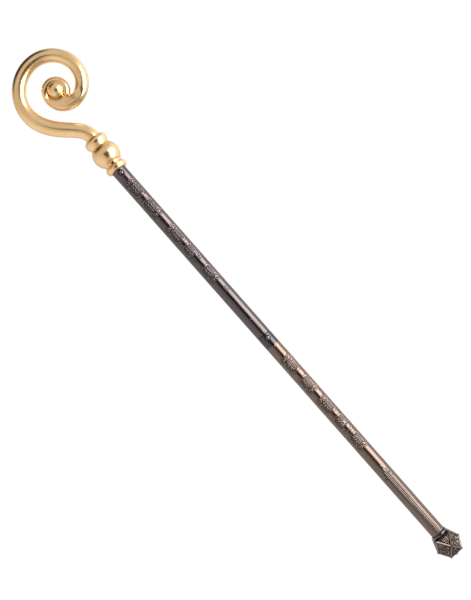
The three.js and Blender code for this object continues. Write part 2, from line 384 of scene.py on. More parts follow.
class Shader:
    """A node tree with one surface or background shader, filled from Python expressions."""

    def __init__(self, owner, surface="ShaderNodeBsdfPrincipled", output="ShaderNodeOutputMaterial"):
        owner.use_nodes = True
        self.material = owner
        self.nodes = owner.node_tree.nodes
        self.links = owner.node_tree.links
        self.nodes.clear()
        self.surface = self.nodes.new(surface)
        self.links.new(self.surface.outputs[0], self.nodes.new(output).inputs["Surface"])

    def add(self, kind, settings=None, inputs=None, output=0):
        """A node of a kind: its settings are set first, then its sockets are given values or links."""
        node = self.nodes.new(kind)
        for key, value in (settings or {}).items():
            setattr(node, key, value)
        for key, value in (inputs or {}).items():
            self.join(node.inputs[key], value)
        return Value(self, node.outputs[output])

    def join(self, socket, value):
        """A link from another node, or the socket's own value."""
        if isinstance(value, Value):
            self.links.new(value.socket, socket)
        elif socket.type == "RGBA" and len(value) == 3:
            socket.default_value = (*value, 1.0)
        else:
            socket.default_value = value

    def set(self, name, value):
        """A socket of the surface itself, by name."""
        self.join(self.surface.inputs[name], value)

    def blend(self, factor, a, b):
        """One colour over another by a factor. A Mix node's colour sockets are 6, 7 and output 2."""
        return self.add("ShaderNodeMix", {"data_type": "RGBA"}, {0: factor, 6: a, 7: b}, output=2)

    def coordinates(self):
        """The piece's own coordinates, in metres."""
        return self.add("ShaderNodeTexCoord", output=3)

    def along(self):
        """How far along the staff a point lies, in the piece's own frame."""
        return self.add("ShaderNodeSeparateXYZ", None, {0: self.coordinates()})

    def noise(self, scale, detail, rough, stretch=(1, 1, 1)):
        """Noise on the piece's own coordinates, which are stretched first."""
        where = self.add("ShaderNodeMapping", None, {"Vector": self.coordinates(), "Scale": stretch})
        inputs = {"Vector": where, "Scale": scale, "Detail": detail, "Roughness": rough}
        return self.add("ShaderNodeTexNoise", None, inputs)

    def attribute(self, name):
        """The number that a mesh keeps for each vertex under a name."""
        return self.add("ShaderNodeAttribute", {"attribute_name": name}, output=2)


def gilt_look(name):
    """Satin gilding: a warm base with pale cloudy patches and fine brushed lines."""
    finish = bpy.context.scene.crosier_finish
    shader = Shader(bpy.data.materials.new(name))
    clouds = shader.noise(22.0, 4.0, 0.6)
    grain = shader.noise(900.0, 3.0, 0.6, stretch=(1, 1, 0.35))
    cloudy = shader.blend(clouds.smoothly(0.35, 0.7), tuple(finish.gilt), tuple(finish.gilt_pale))
    shader.set("Base Color", cloudy)
    shader.set("Metallic", 1.0)
    shader.set("Roughness", finish.gilt_roughness + (clouds - 0.5) * 0.10 + (grain - 0.5) * 0.08)
    fine = shader.add("ShaderNodeBump", None, {"Strength": 0.05, "Distance": 0.0004, "Height": grain})
    shader.set("Normal", fine)
    return shader.material


def silver_look(name, base, streak, joint=None):
    """Toned silver in long soft streaks: dark patina in the hollows and painted shade on the foot's corner
    beads and the collar's flanks, rubbed metal on what stands out.

    A joint colour is given to what lies before the end of the joint's band.
    """
    finish = bpy.context.scene.crosier_finish
    shader = Shader(bpy.data.materials.new(name))
    relief = shader.attribute("relief")
    streaks = shader.noise(9.0, 5.0, 0.6, stretch=(0.35, 1, 1))
    specks = shader.noise(420.0, 3.0, 0.7)
    tone = shader.blend(streaks.smoothly(0.3, 0.72), base, streak)
    if joint:
        band_end = STAFF_ORIGIN[0] + JOINT_BAND_END * MM
        past_joint = shader.along().smoothly(band_end - 0.8 * MM, band_end + 0.8 * MM)
        tone = shader.blend(past_joint, joint, tone)
    # Below zero the shade gives the patina colour: patina in the hollows, and painted shade on the foot's
    # corner beads and the collar's flanks.
    patina_and_painted_shade = (relief * -1.0).smoothly(0.03, 0.4)
    proud = relief.smoothly(0.25, 0.9)
    rubbed = shader.blend(proud * 0.6, tone, tuple(finish.rubbed))
    toned = shader.blend(patina_and_painted_shade * 0.95, rubbed, tuple(finish.patina_and_shade))
    speckled = shader.blend(specks.smoothly(0.58, 0.75) * 0.35, toned, tuple(finish.patina_and_shade))
    shader.set("Base Color", speckled)
    shader.set("Metallic", 1.0)
    shader.set("Roughness", finish.silver_roughness + (streaks - 0.5) * 0.12 + patina_and_painted_shade * 0.2)
    fine = shader.add("ShaderNodeBump", None, {"Strength": 0.12, "Distance": 0.0005, "Height": specks})
    shader.set("Normal", fine)
    return shader.material


def look(name):
    """The named material, made the first time that it is asked for."""
    finish = bpy.context.scene.crosier_finish
    full_name = name + "_metal"
    made = bpy.data.materials.get(full_name)
    if made:
        return made
    if name == "gilt":
        return gilt_look(full_name)
    if name == "dark_silver":
        return silver_look(full_name, tuple(finish.silver), tuple(finish.silver_streak))
    return silver_look(full_name, tuple(finish.brown), tuple(finish.brown_streak), tuple(finish.joint))


# ---- Crook ----

# Angles about the eye, in degrees: where the coil starts, where the rim parts from it and where the rim ends.
COIL_START = 300.0
PARTING = -36.0
TIP = -336.0

# Spans of angle over which the coil changes from one form to the next.
SWELL_SPAN = (235.0, COIL_START)
WINDING_SPAN = (-110.0, 180.0)
CLOSING_SPAN = (10.0, 44.0)
RISING_SPAN = (-130.0, 70.0)
FLAT_START_SPAN = (-150.0, -70.0)
FLAT_END_SPAN = (28.0, 62.0)
TIP_SPAN = 14.0

# The stem's start and the pulls of its curve, in millimetres, and the eye ball's shift from the eye.
STEM_START = -88.6
STEM_PULL = 38
COIL_PULL = 54
EYE_BALL_SHIFT = (-1.5, 0.8)


def coil_rings(angle, around):
    """Rings across the coil at angles about the eye, in degrees.

    The outer edge winds from the rim's radius to the full coil by an eased step. A ring is an ellipse, and
    where the coil flattens its height is the soft least of the ellipse and a straight slope down to the eye.
    """
    crook = bpy.context.scene.crosier_crook
    radial = np.radians(angle)
    outward_x, outward_y = np.cos(radial), np.sin(radial)
    full = mixed(crook.tube_radius, crook.swell_radius, eased(angle, *SWELL_SPAN))
    winding = eased(angle, *WINDING_SPAN)
    coil_edge = crook.middle_radius + crook.tube_radius
    edge = mixed(crook.rim_radius, coil_edge, winding) + full - crook.tube_radius
    across = mixed((edge - crook.core_radius) / 2, full, eased(angle, *CLOSING_SPAN))
    upward = mixed(crook.rim_height, full, eased(angle, *RISING_SPAN))
    left = np.clip((angle - TIP) / TIP_SPAN, 0.0, 1.0)
    rounding = np.sqrt(1.0 - (1.0 - left) ** 2)
    middle = edge - across
    across = across * rounding
    upward = upward * rounding
    flat = eased(angle, *FLAT_START_SPAN) * (1.0 - eased(angle, *FLAT_END_SPAN))
    step = np.linspace(0, 2 * math.pi, around, endpoint=False)
    side = np.cos(step)[None, :] * np.ones_like(angle)[:, None]
    dome = np.abs(np.sin(step))[None, :] * np.ones_like(angle)[:, None]
    slope = soft_least(dome, 0.866 + 0.44 * (side - 0.5), 0.10)
    height = mixed(dome, np.where(dome > 0, slope, 0.0), flat[:, None]) * np.sign(np.sin(step))[None, :]
    reach = middle[:, None] + across[:, None] * side
    x = -crook.eye_height + reach * outward_x[:, None]
    y = reach * outward_y[:, None]
    return np.stack([x, y, -upward[:, None] * height], -1)


def stem_rings(around):
    """Rings across the stem: a cubic Bezier from the knop's top, over into the coil's tangent."""
    crook = bpy.context.scene.crosier_crook
    radial = math.radians(COIL_START)
    joined = np.array([
        -crook.eye_height + crook.middle_radius * math.cos(radial),
        crook.middle_radius * math.sin(radial),
    ])
    heading = np.array([math.sin(radial), -math.cos(radial)])
    start = np.array([STEM_START * MM, 0.0])
    line = bezier(start, start - [STEM_PULL * MM, 0], joined - COIL_PULL * MM * heading, joined, 60)
    tangent = np.gradient(line, axis=0)
    tangent /= np.linalg.norm(tangent, axis=1)[:, None]
    tangent[0] = [-1.0, 0.0]
    tangent[-1] = heading
    across = np.stack([-tangent[:, 1], tangent[:, 0]], -1)
    t = np.linspace(0, 1, len(line))
    radius = mixed(crook.stem_radius, crook.swell_radius, eased(t, 0.3, 1.0))
    step = np.linspace(0, 2 * math.pi, around, endpoint=False)
    side = np.cos(step)[None, :, None] * radius[:, None, None] * across[:, None, :]
    flat = line[:, None, :] + side
    up = -radius[:, None] * np.sin(step)[None, :]
    return np.concatenate([flat, up[..., None]], -1)


class CROSIER_OT_crook(bpy.types.Operator):
    """Make the gilt crook: a stem and a coil that winds in to a rim round a ball"""
    bl_idname = "crosier.crook"
    bl_label = "Crook"

    def execute(self, context):
        crook = context.scene.crosier_crook
        around = crook.around
        coil = coil_rings(np.linspace(COIL_START, PARTING, 420)[1:], around)
        rings = np.concatenate([stem_rings(around), coil])
        rim = coil_rings(np.linspace(PARTING, TIP + 0.2, 300), around)
        shift_x, shift_y = EYE_BALL_SHIFT
        ball = np.array([-crook.eye_height + shift_x * MM, shift_y * MM, 0.0])
        skins = []
        for made in (rings, rim):
            points, quads, fans = closed_skin(made, made[0].mean(0), made[-1].mean(0))
            skins.append((placed(points, HEAD_LEAN), quads, fans))
        points, quads, fans = ball_skin(ball, crook.ball_radius, 160, 80)
        skins.append((placed(points, HEAD_LEAN), quads, fans))
        piece = make_object("gilt_crook", skins[:1])
        for part in skins[1:]:
            combined(piece, make_object("crook_tool", [part]), "UNION", 35.0)
        finished(piece, "crook", look("gilt"))
        return {"FINISHED"}


# ---- Knop ----

LOWER_NECK = 20.0
UPPER_NECK = 21.4
LOWER_BEAD_AT = 7.0
UPPER_BEAD_AT = 78.2
GROOVE_AT = 10.0
PIN_HOLE_AT = 16.4
PIN_HOLE_FLOOR = 12.0


def knop_outline():
    """The knop's outline as (distance from the staff, radius), from the staff's end to the crook's."""
    knop = bpy.context.scene.crosier_knop
    lower, upper = knop.lower_bead / MM, knop.upper_bead / MM
    ball, height = knop.ball_radius / MM, knop.ball_height / MM
    first = math.acos(LOWER_NECK / ball)
    last = math.acos(UPPER_NECK / ball)
    low, high = LOWER_BEAD_AT, UPPER_BEAD_AT
    ball_top = height + ball * math.sin(last)
    swing = np.linspace(-first, last, 120)[1:-1]
    parts = [
        [(2.4, 17.6), (-0.9, 17.6), (-1.3, 18.0), (-1.3, 19.3)],
        bezier((-1.3, 19.3), (-0.7, lower - 2), (low - 4, lower), (low, lower), 40)[1:],
        bezier((low, lower), (low + 5, lower), (14.0, LOWER_NECK + 2.6), (17.2, LOWER_NECK), 40)[1:],
        np.stack([height + ball * np.sin(swing), ball * np.cos(swing)], -1),
        bezier((ball_top, UPPER_NECK), (69.8, UPPER_NECK + 2.4), (high - 5, upper), (high, upper), 40),
        bezier((high, upper), (high + 5, upper), (85.9, 24.6), (88.3, 21.8), 40)[1:],
    ]
    outline = np.concatenate([np.asarray(p, float) for p in parts])
    outline[:, 1] -= 0.35 * bump(outline[:, 0] - GROOVE_AT, 0.5) * (outline[:, 1] > LOWER_NECK)
    return outline * MM


class CROSIER_OT_knop(bpy.types.Operator):
    """Make the gilt knop: a ball between two beads, turned on the crook's leaning axis"""
    bl_idname = "crosier.knop"
    bl_label = "Knop"

    def execute(self, context):
        knop = context.scene.crosier_knop
        outline = knop_outline()
        outline[:, 0] *= -1
        points, quads, fans = turned_skin(outline, knop.around)
        floor = -STAFF_ORIGIN[2]
        points[:, 2] = np.maximum(points[:, 2], floor)
        piece = make_object("gilt_knop", [(placed(points, HEAD_LEAN), quads, fans)])
        past_skin = knop.ball_radius + 8.7 * MM
        drill = np.array([[PIN_HOLE_FLOOR * MM, knop.hole_radius], [past_skin, knop.hole_radius]])
        hole, hole_quads, hole_fans = turned_skin(drill, 32)
        upright = hole[:, [2, 1, 0]] - [PIN_HOLE_AT * MM, 0, 0]
        tool = make_object("knop_tool", [(placed(upright, HEAD_LEAN), hole_quads, hole_fans)])
        combined(piece, tool, "DIFFERENCE", 35.0)
        finished(piece, "knop", look("gilt"))
        return {"FINISHED"}


# ---- Scrollwork ----

def arc(centre, radius, start, end, count=14, shrink=1.0):
    """Points of an arc, in degrees, whose radius runs evenly to shrink times itself."""
    angle = np.radians(np.linspace(start, end, count))
    size = radius * np.linspace(1.0, shrink, count)
    return np.stack([centre[0] + size * np.cos(angle), centre[1] + size * np.sin(angle)], -1)


def wave(start, end, swing, periods, count=40):
    """Points of a sine wave about the straight line from start to end."""
    t = np.linspace(0, 1, count)
    line = mixed(np.asarray(start)[None, :], np.asarray(end)[None, :], t[:, None])
    line[:, 1] += swing * np.sin(2 * math.pi * periods * t)
    return line


def bar_strokes(u, way):
    """Half of a bracket across the staff at u: a double bar whose end curls over, towards way."""
    return [
        np.array([[u, 0.0], [u, 10.4]]),
        arc((u + way * 2.1, 10.4), 2.1, 90 + way * 90, 90 - way * 190, 18, 0.45),
        np.array([[u - way * 1.9, 0.0], [u - way * 1.9, 10.0]]),
    ]


def cartouche(span, ending):
    """Half of a panel, bar at u = 0 and ending at u = span, in millimetres of staff and of arc."""
    strokes = bar_strokes(2.2, 1) + [
        bezier((6.4, 11.6), (9.0, 13.2), (11.5, 9.4), (15.0, 10.6), 14),
        bezier((15.0, 10.6), (19.5, 14.2), (22.0, 9.8), (27.0, 10.8), 14),
        wave((7.0, 6.6), (span - 17.0, 6.6), 1.0, 2.5),
        wave((5.5, 3.0), (span - 15.0, 2.6), 0.8, 3.5),
    ]
    if ending == "scroll":
        middle = (span - 8.5, 6.8)
        strokes += [
            bezier((27.0, 10.8), (30.0, 12.0), (span - 13.0, 13.6), (span - 9.5, 13.6), 10),
            arc(middle, 6.9, 98, -250, 40, 0.36),
            arc(middle, 1.1, 0, 360, 12),
            arc((span - 16.0, 8.4), 2.0, 200, -60, 12, 0.7),
        ]
    elif ending == "bar":
        strokes += bar_strokes(span - 2.2, -1)
        strokes.append(np.array([[span / 2 - 6.0, 7.5], [span / 2 + 6.0, 0.0]]))
        strokes.append(np.array([[span / 2 + 6.0, 7.5], [span / 2 - 6.0, 0.0]]))
    else:
        strokes += [
            arc((span * 0.55, 7.6), 3.3, 150, -170, 22, 0.4),
            arc((span * 0.84, 7.2), 3.7, 150, -190, 24, 0.4),
            bezier((27.0, 10.8), (32.0, 13.0), (span - 4.0, 12.0), (span - 1.0, 6.0), 14),
        ]
    return strokes


# Panels from the knop to the foot: start and end in millimetres along the staff, the ending, and whether the
# bar comes first or last.
UPPER_PANELS = [
    (30.8, 77.0, "scroll", "last"),
    (90.2, 137.5, "scroll", "first"),
    (165.0, 211.2, "scroll", "last"),
    (222.2, 266.2, "swirls", "first"),
    (283.8, 327.8, "scroll", "first"),
]
LOWER_PANELS = [
    (545.6, 589.6, "scroll", "last"),
    (607.2, 650.3, "scroll", "first"),
    (664.4, 708.4, "scroll", "last"),
    (720.5, 763.4, "bar", "first"),
    (772.2, 815.3, "scroll", "first"),
]


def nearest(points, strokes):
    """Each point's distance to the nearest of the strokes, taken to their straight segments."""
    starts = np.concatenate([s[:-1] for s in strokes])
    ends = np.concatenate([s[1:] for s in strokes])
    along = ends - starts
    size = np.maximum((along ** 2).sum(1), 1e-9)
    gap = points[:, None, :] - starts[None, :, :]
    t = np.clip((gap * along[None]).sum(2) / size[None], 0, 1)
    away = gap - t[..., None] * along[None]
    return np.sqrt((away ** 2).sum(2).min(1))


def moulding(distance, width):
    """A round rib on the stroke with a cut line along each side of it."""
    return bump(distance, width) - 0.85 * bump(distance - 2.1 * width, 0.8 * width)


def panel_relief(x, arc_length, panels):
    """The height of the panels over a grid of places along the staff and round it, front and back."""
    height = np.zeros_like(x)
    for start, end, ending, bar in panels:
        span = end - start
        strokes = cartouche(span, ending)
        both = strokes + [s * [1, -1] for s in strokes]
        inside = (x > start - 4) & (x < end + 4) & (np.abs(arc_length) < 19)
        u = x[inside] - start
        if bar == "last":
            u = span - u
        points = np.stack([u, arc_length[inside]], -1)
        height[inside] = moulding(nearest(points, both), 0.62)
    return height


def rib_relief(x, arc_length, start, places, fade_end, beads):
    """Long ribs side by side from a pointed start: each begins later the further out it lies."""
    height = np.zeros_like(x)
    for offset, size in places:
        begin = start + abs(offset) * 1.6
        reach = eased(x, begin, begin + 5.0)
        if fade_end:
            reach = reach * (1 - eased(x, fade_end - 1.5, fade_end))
        beading = 1.0 - beads * 0.5 * (1 + np.cos(2 * math.pi * x / 2.4))
        height += size * reach * beading * bump(arc_length - offset, 0.95)
        height -= 0.4 * size * reach * bump(np.abs(arc_length - offset) - 2.0, 0.6)
    return height


def punch(x, arc_length, places, size):
    """Short deep oval marks at places along and round the staff."""
    height = np.zeros_like(x)
    for u, v in places:
        height -= bump(np.hypot((x - u) / 1.2, arc_length - v), size)
    return height


# ---- Staff ----

UPPER_STUD_AT = 10.3
JOINT_STUD_AT = 493.4
JOINT_BAND_END = 513.5
NOTCHES = [(880.7, 4.3), (880.7, -4.6), (887.7, 7.3), (887.7, -7.0), (897.6, 9.6), (897.6, -10.6)]


def staff_rows(start, end, busy):
    """Places along the staff: close together in the busy stretches and wide apart between them."""
    fine = np.arange(start, end, 0.6)
    near = np.zeros(len(fine), bool)
    for low, high in busy:
        near |= (fine > low) & (fine < high)
    every = (np.arange(len(fine)) % 4) == 0
    return np.concatenate([fine[near | every], [end]])


def staff_angles():
    """Angles round the staff: close together over the front and the back and wider at the sides."""
    half = np.radians(np.concatenate([np.arange(-66, 66, 1.8), np.arange(66, 114, 5.0)]))
    return np.concatenate([half, half + math.pi])


def staff_piece(name, start, end, chamfers, busy, twist, relief):
    """A tube as a height field over places along it and angles round it, shut at both ends."""
    staff = bpy.context.scene.crosier_staff
    radius = staff.radius / MM
    rows = staff_rows(start, end, busy)
    rows = np.unique(np.concatenate([rows, [start + chamfers[0], end - chamfers[1]]]))
    angle = staff_angles()
    x, theta = np.meshgrid(rows, angle, indexing="ij")
    folded = np.remainder(theta + math.pi / 2, math.pi) - math.pi / 2
    height, shade = relief(x, folded * radius, theta)
    generator = np.random.default_rng(SEED + int(start))
    dents = waves(x + 14 * theta, 5, 24, 90, generator) * 0.035
    size = radius + height + dents
    size = np.minimum(size, radius - chamfers[0] + np.abs(x - start))
    size = np.minimum(size, radius - chamfers[1] + np.abs(end - x))
    place_angle = theta + twist
    rings = np.stack([x, size * np.sin(place_angle), size * np.cos(place_angle)], -1) * MM
    points, quads, fans = closed_skin(rings, np.array([start, 0, 0]) * MM, np.array([end, 0, 0]) * MM)
    piece = make_object(name, [(placed(points), quads, fans)], 75.0)
    painted(piece, "relief", np.concatenate([shade.ravel(), [0, 0]]))
    return piece


def stud_dish(x, arc_length, theta, place_x):
    """A dished ring round a stud, on the front only."""
    front = (np.cos(theta) > 0).astype(float)
    away = np.hypot(x - place_x, arc_length)
    return -front * bump(away - 5.6, 1.1)


def upper_relief(x, arc_length, theta):
    """The upper tube's height and shade: panels, two faint swirls, ribs by the seam and the stud's dish."""
    staff = bpy.context.scene.crosier_staff
    panels = panel_relief(x, arc_length, UPPER_PANELS)
    small = [arc((349, 5.2), 3.0, 150, -190, 20, 0.4), arc((356, 5.0), 2.2, 0, 360, 12)]
    inside = (x > 338) & (x < 366) & (np.abs(arc_length) < 12)
    faint = np.zeros_like(x)
    faint[inside] = moulding(nearest(np.stack([x[inside], arc_length[inside]], -1), small), 0.6)
    ribs = rib_relief(x, arc_length, 433.0, [(-2.2, 0.7), (0.0, 1.0), (2.2, 0.7)], 482.0, 0.7)
    dish = stud_dish(x, arc_length, theta, UPPER_STUD_AT)
    shade = panels + 0.5 * faint + 0.8 * ribs + dish
    height = staff.relief / MM * (panels + 0.5 * faint + 0.7 * ribs) + 0.5 * dish
    return height, shade


def lower_relief(x, arc_length, theta):
    """The lower tube's height and shade: panels, short and long ribs, the arrow tip, notches and a dish."""
    staff = bpy.context.scene.crosier_staff
    panels = panel_relief(x, arc_length, LOWER_PANELS)
    short = rib_relief(x, arc_length, 512.0, [(-2.4, 0.6), (0.0, 0.8), (2.4, 0.8), (4.6, 0.6)], 543.0, 0.3)
    places = [(0.0, 1.0), (-3.9, 0.75), (3.9, 0.55), (-8.4, 0.3), (8.4, 0.3)]
    long_ribs = rib_relief(x, arc_length, 872.0, places, None, 0.35)
    calm = 1 - 0.5 * eased(x, 940, 990)
    past_side = eased(np.abs(arc_length) - (x - 865) * 0.62, -0.7, 0.7)
    tip = eased(x, 864, 866) * (1 - eased(x, 876, 888)) * (1 - past_side)
    notches = punch(x, arc_length, NOTCHES, 1.5)
    dish = stud_dish(x, arc_length, theta, JOINT_STUD_AT)
    shade = panels + 0.6 * short + 0.9 * long_ribs + 0.8 * notches + dish + 0.4 * tip
    height = staff.relief / MM * (panels + 0.8 * short) + staff.rib / MM * long_ribs * calm
    height += 0.8 * notches + 0.5 * dish + 0.35 * tip
    return height, shade


class CROSIER_OT_staff(bpy.types.Operator):
    """Make both tubes of the staff, with their scrollwork panels, ribs and notches"""
    bl_idname = "crosier.staff"
    bl_label = "Staff"

    def execute(self, context):
        staff = context.scene.crosier_staff
        seam, end = staff.seam / MM, staff.end / MM
        busy = [(a - 3, b + 3) for a, b, _, _ in UPPER_PANELS] + [(4, 17), (340, 364), (430, seam)]
        upper = staff_piece(
            "engraved_upper_tube", -1.0, seam - 0.15, (0.6, 0.9), busy, staff.upper_twist, upper_relief,
        )
        finished(upper, "upper_tube", look("dark_silver"))
        busy = [(a - 3, b + 3) for a, b, _, _ in LOWER_PANELS] + [(seam, 545), (860, 960)]
        lower = staff_piece(
            "engraved_lower_tube", seam + 0.15, end - 0.3, (0.9, 0.3), busy, staff.lower_twist, lower_relief,
        )
        finished(lower, "lower_tube", look("brown_silver"))
        return {"FINISHED"}


def stud_piece(name, node, slot, x, twist):
    """A domed stud: a low dome turned about its own axis, which leaves the staff at a twist."""
    staff = bpy.context.scene.crosier_staff
    radius = staff.stud_radius
    rise = 1.6 * MM
    swing = np.linspace(0, math.pi / 2, 20)
    dome = np.stack([rise * np.sin(swing), radius * np.cos(swing)], -1)[:-1]
    outline = np.concatenate([[[-1.4 * MM, radius], [-0.1 * MM, radius]], dome])
    points, quads, fans = turned_skin(outline, 48)
    points[-1, 0] = rise
    upright = points[:, [1, 2, 0]] + [0, 0, staff.radius]
    c, s = math.cos(twist), math.sin(twist)
    rolled = upright @ np.array([[1, 0, 0], [0, c, -s], [0, s, c]])
    piece = make_object(name, [(placed(rolled + [x * MM, 0, 0]), quads, fans)])
    painted(piece, "relief", np.where(points[:, 0] > 0.5 * MM, 0.8, 0.0))
    finished(piece, node, look(slot))


class CROSIER_OT_studs(bpy.types.Operator):
    """Make the two domed studs that fix the tubes"""
    bl_idname = "crosier.studs"
    bl_label = "Studs"

    def execute(self, context):
        staff = context.scene.crosier_staff
        stud_piece("domed_upper_stud", "upper_stud", "dark_silver", UPPER_STUD_AT, staff.upper_twist)
        stud_piece("domed_joint_stud", "joint_stud", "brown_silver", JOINT_STUD_AT, staff.lower_twist)
        return {"FINISHED"}


# ---- Foot ----

# Places along the staff, in millimetres: the collar's middle and the foot's start, waist and end.
COLLAR_AT = 1066.35
FOOT_START = 1070.6
FOOT_WAIST = 1097.0
FOOT_END = 1119.4
FOOT_MIDDLE = 1096.0
END_BOSS_HEIGHT = 6.3


class CROSIER_OT_collar(bpy.types.Operator):
    """Make the collar: a round bead between the staff and the foot"""
    bl_idname = "crosier.collar"
    bl_label = "Foot collar"

    def execute(self, context):
        swing = np.linspace(-math.pi / 2, math.pi / 2, 33)
        bead = np.stack([COLLAR_AT + 3.95 * np.sin(swing), 16.9 + 1.9 * np.cos(swing)], -1)
        points, quads, fans = turned_skin(bead * MM, 144)
        piece = make_object("beaded_foot_collar", [(placed(points), quads, fans)], 60.0)
        # Painted shade: the shade falls with the radius, so the collar's flanks next to the staff and the
        # foot are painted dark.
        painted(piece, "relief", np.hypot(points[:, 1], points[:, 2]) / MM * 0.8 - 14.6)
        finished(piece, "foot_collar", look("dark_silver"))
        return {"FINISHED"}


def foot_corners():
    """The corners: four next to the staff, four at the waist and four at the end, in millimetres."""
    foot = bpy.context.scene.crosier_foot
    rings = [
        (FOOT_START, foot.top_radius, 45),
        (FOOT_WAIST, foot.waist_radius, 0),
        (FOOT_END, foot.end_radius, 45),
    ]
    made = []
    for x, radius, first in rings:
        angle = foot.twist + np.radians(first + 90 * np.arange(4))
        size = radius / MM
        made.append(np.stack([np.full(4, x), size * np.sin(angle), size * np.cos(angle)], -1))
    return made


def patch(corners, relief, count=56):
    """A grid over four corners, straight between its edges and raised away from the foot's middle."""
    a, b, c, d = corners
    u, v = np.meshgrid(np.linspace(0, 1, count), np.linspace(0, 1, count), indexing="ij")
    u3, v3 = u[..., None], v[..., None]
    flat = (a * (1 - u3) + b * u3) * (1 - v3) + (d * (1 - u3) + c * u3) * v3
    away = flat - [FOOT_MIDDLE, 0, 0]
    away /= np.linalg.norm(away, axis=2)[..., None]
    height, shade = relief(u, v, flat)
    i = np.arange(count - 1)[:, None]
    j = np.arange(count - 1)[None, :]
    quads = np.stack([i * count + j, (i + 1) * count + j, (i + 1) * count + j + 1, i * count + j + 1], -1)
    return (flat + away * height[..., None]).reshape(-1, 3), quads.reshape(-1, 4), shade.ravel()


def edge_distance(flat, corners):
    """The distance from each point of a patch to the nearest of its straight edges, in millimetres."""
    best = np.full(flat.shape[:2], 1e9)
    for p, q in zip(corners, np.roll(corners, -1, axis=0)):
        along = q - p
        size = (along ** 2).sum()
        if size < 1e-6:
            continue
        t = np.clip(((flat - p) @ along) / size, 0, 1)
        best = np.minimum(best, np.linalg.norm(flat - p - t[..., None] * along, axis=2))
    return best


def framed(flat, corners, inner):
    """A raised band along the edges, a bead on each corner, a cut line and whatever lies within. The shade
    that it returns is the height with painted shade on each corner bead, which makes the beads dark.
    """
    foot = bpy.context.scene.crosier_foot
    raised = foot.relief / MM
    away = edge_distance(flat, corners)
    corner = np.linalg.norm(flat[:, :, None] - corners, axis=3).min(2)
    bead = bump(corner, foot.bead_radius / MM)
    band = bump(away, 1.7)
    cut = bump(away - 3.2, 0.9)
    inside = eased(away, 3.2, 4.6)
    height = raised * band - 0.7 * cut + inner * inside + raised * bead
    # Painted shade: each corner bead is made dark in the shade, though it stands out.
    return height, height - 2.6 * bead


def diamond_relief(corners):
    """Strapwork in a diamond: a boss, short crossing strokes and a hooked line."""
    strokes = [
        np.array([[0.30, 0.62], [0.52, 0.70]]),
        np.array([[0.55, 0.34], [0.70, 0.50]]),
        bezier((0.20, 0.40), (0.34, 0.30), (0.42, 0.52), (0.34, 0.62), 12),
        np.array([[0.44, 0.22], [0.30, 0.30]]),
        arc((0.72, 0.72), 0.09, 0, 360, 16),
        np.array([[0.60, 0.60], [0.48, 0.46]]),
    ]

    def relief(u, v, flat):
        side = np.linalg.norm(corners[1] - corners[0])
        points = np.stack([u.ravel(), v.ravel()], -1)
        away = nearest(points, strokes).reshape(u.shape) * side
        inner = 1.0 * bump(away, 1.0) - 0.8 * bump(away - 2.2, 0.9)
        return framed(flat, corners, inner)

    return relief


def triangle_relief(corners, kind):
    """A triangle next to the staff carries the long ribs to its corner, and one at the end an oval ring."""
    base = (corners[0] + corners[1]) / 2
    tip = corners[2]
    axis = (tip - base) / np.linalg.norm(tip - base)
    cross = corners[1] - corners[0]
    cross = cross / np.linalg.norm(cross)
    reach = np.linalg.norm(tip - base)

    def relief(u, v, flat):
        along = (flat - base) @ axis
        across = (flat - base) @ cross
        if kind == "ribs":
            inner = sum(
                size * bump(across - place, 0.9) - 0.35 * size * bump(np.abs(across - place) - 1.9, 0.6)
                for place, size in ((0.0, 1.2), (-3.6, 0.8), (3.6, 0.8))
            )
        else:
            ring = np.hypot((along - reach * 0.36) / 0.62, across) - 6.2
            slit = np.hypot((along - reach * 0.36) / 0.45, across / 2.6)
            inner = 1.1 * bump(ring, 1.1) - 1.4 * bump(slit, 1.3)
        return framed(flat, corners, inner)

    return relief


def square_relief(corners, boss_height):
    """A square at an end: its frame, and a round boss that stands out about the axis."""

    def relief(u, v, flat):
        away = np.hypot(flat[..., 1], flat[..., 2])
        return framed(flat, corners, boss_height * (1 - eased(away, 3.6, 4.9)))

    return relief


def foot_skin():
    """The foot's whole skin: a patch for each face, with the edges of neighbours in the same places."""
    top, waist, end = foot_corners()
    patches = []
    for i in range(4):
        j = (i + 1) % 4
        k = (i - 1) % 4
        side = np.array([waist[i], top[i], waist[j], end[i]])
        patches.append((side, diamond_relief(side)))
        near = np.array([top[i], top[k], waist[i], waist[i]])
        patches.append((near, triangle_relief(near, "ribs")))
        far = np.array([end[k], end[i], waist[i], waist[i]])
        patches.append((far, triangle_relief(far, "ring")))
    for square, boss_height in ((top[::-1], 0.0), (end, END_BOSS_HEIGHT)):
        patches.append((square, square_relief(square, boss_height)))
    points, quads, shades = [], [], []
    first = 0
    for corners, relief in patches:
        p, q, shade = patch(corners, relief)
        points.append(p)
        quads.append(q + first)
        shades.append(shade)
        first += len(p)
    return np.concatenate(points), np.concatenate(quads), np.concatenate(shades)


class CROSIER_OT_foot(bpy.types.Operator):
    """Make the faceted foot, with raised strapwork, a bead on each corner and an end boss"""
    bl_idname = "crosier.foot"
    bl_label = "Foot"

    def execute(self, context):
        points, quads, shades = foot_skin()
        key = np.round(points, 3)
        _, index, inverse = np.unique(key, axis=0, return_index=True, return_inverse=True)
        quads = inverse.ravel()[quads]
        shades = shades[index]
        points = points[index]
        floor = -STAFF_ORIGIN[2] / MM
        points[:, 2] = np.maximum(points[:, 2], floor)
        points[:, 0] = np.maximum(points[:, 0], FOOT_START)
        thin = (quads == np.roll(quads, -1, axis=1)).any(1)
        fans = np.array([list(dict.fromkeys(q)) for q in quads[thin]], int)
        piece = make_object("strapwork_foot", [(placed(points * MM), quads[~thin], fans)], 60.0)
        # The shades hold painted shade on the corner beads as well as the strapwork's patina and rubbing.
        painted(piece, "relief", shades)
        finished(piece, "foot_knob", look("brown_silver"))
        return {"FINISHED"}


# ---- Stage ----

